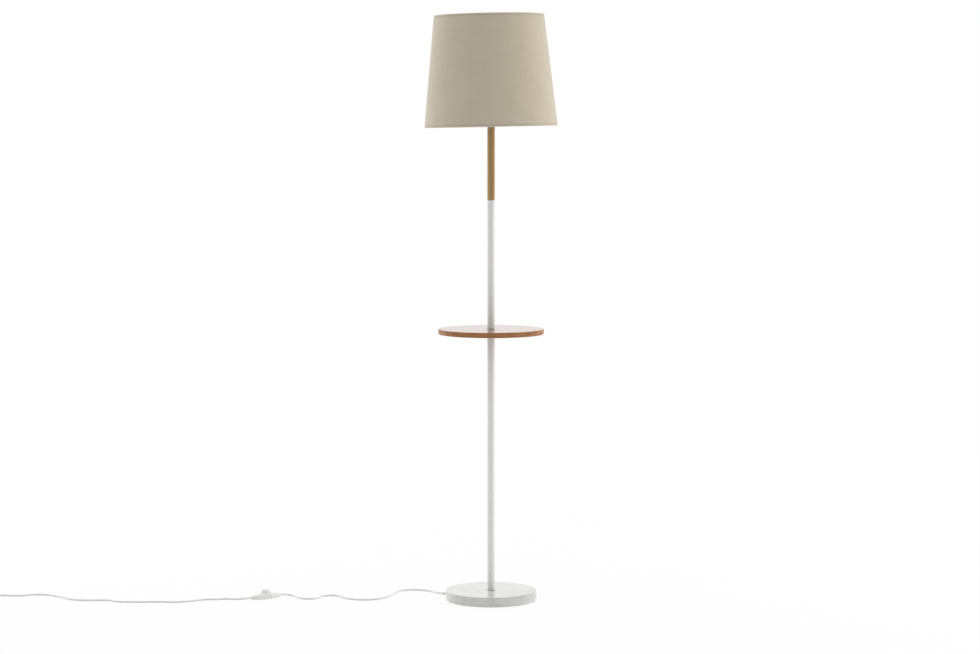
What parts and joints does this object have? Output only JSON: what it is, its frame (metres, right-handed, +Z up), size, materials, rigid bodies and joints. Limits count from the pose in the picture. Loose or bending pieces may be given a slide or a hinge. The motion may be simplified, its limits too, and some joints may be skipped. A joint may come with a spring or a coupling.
{
  "type": "floor lamp with table",
  "caption": "Floor lamp on a round marble base with a small round wooden table on its white and oak pole, a tapered linen shade, and a mains cord with foot switch and plug.",
  "frame": {"origin": "on the floor under the pole's axis, at the middle of the round base", "axes": "+Z up along the pole, +X to the right as one faces the lamp, +Y away from the one who faces it; the cord leaves the base to the left and back"},
  "size_m": [1.6726, 0.3498, 1.5527],
  "materials": {
    "felt": "grey felt",
    "marble": "polished white marble with faint grey mottling",
    "zinc_steel": "zinc plated",
    "steel_collar": "satin steel",
    "rubber": "white rubber",
    "white_lacquer": "white powder coat, semi-gloss",
    "oak": "oak, satin varnish",
    "tray_wood": "reddish brown wood, gloss lacquer",
    "lampholder_plastic": "white moulded plastic",
    "brass": "plain",
    "bulb_metal": "nickel bright",
    "opal_glass": "opal white",
    "linen": "natural linen, plain weave with slubs",
    "liner_plastic": "smooth white film",
    "white_wire": "white coated wire",
    "cord_pvc": "white flex",
    "core_pvc": "coloured core insulation",
    "switch_plastic": "white moulded plastic, satin",
    "plug_plastic": "white moulded plastic"
  },
  "bodies": {
    "lamp": {"base_pads": "felt", "base_slab": "marble", "base_washer": "zinc_steel", "base_nut": "zinc_steel", "base_rod": "zinc_steel", "base_collar": "steel_collar", "cord_bush": "rubber", "pole_lower_tube": "white_lacquer", "pole_upper_tube": "white_lacquer", "lower_tube_foot_insert": "zinc_steel", "lower_tube_top_insert": "zinc_steel", "upper_tube_foot_insert": "zinc_steel", "upper_tube_top_insert": "zinc_steel", "tray_rod": "zinc_steel", "oak_joint_rod": "zinc_steel", "oak_pole_section": "oak", "tray_lower_collar": "steel_collar", "tray_table": "tray_wood", "tray_upper_collar": "steel_collar", "lampholder_rod": "zinc_steel", "lampholder_cap": "lampholder_plastic", "lampholder_sleeve": "lampholder_plastic", "lampholder_core": "lampholder_plastic", "lampholder_screw_shell": "brass", "lampholder_contact": "brass", "shade_ring_lower": "lampholder_plastic", "shade_ring_upper": "lampholder_plastic", "bulb_cap": "bulb_metal", "bulb_glass": "opal_glass", "shade_linen": "linen", "shade_liner": "liner_plastic", "shade_bottom_wire": "white_wire", "shade_top_wire": "white_wire", "shade_spider": "white_wire", "cord_inside_pole": "cord_pvc", "cord_cores": "core_pvc", "switch_base": "switch_plastic", "switch_cover": "switch_plastic", "switch_contacts": "brass", "switch_screws": "zinc_steel", "switch_spring": "zinc_steel", "cord_lead": "cord_pvc", "cord_run": "cord_pvc", "cord_coil": "cord_pvc", "cord_tail": "cord_pvc", "plug_body": "plug_plastic", "plug_pins": "bulb_metal", "plug_pin_sleeves": "plug_plastic"},
    "push_button": {"switch_button": "switch_plastic"}
  },
  "joints": [
    {"name": "button_press", "type": "slide", "parent": "lamp", "child": "push_button", "axis": [0, 0, -1], "range_m": [0, 0.003], "stiffness_N_per_m": 700, "springref_m": -0.004, "deforming": ["switch_spring"]}
  ]
}
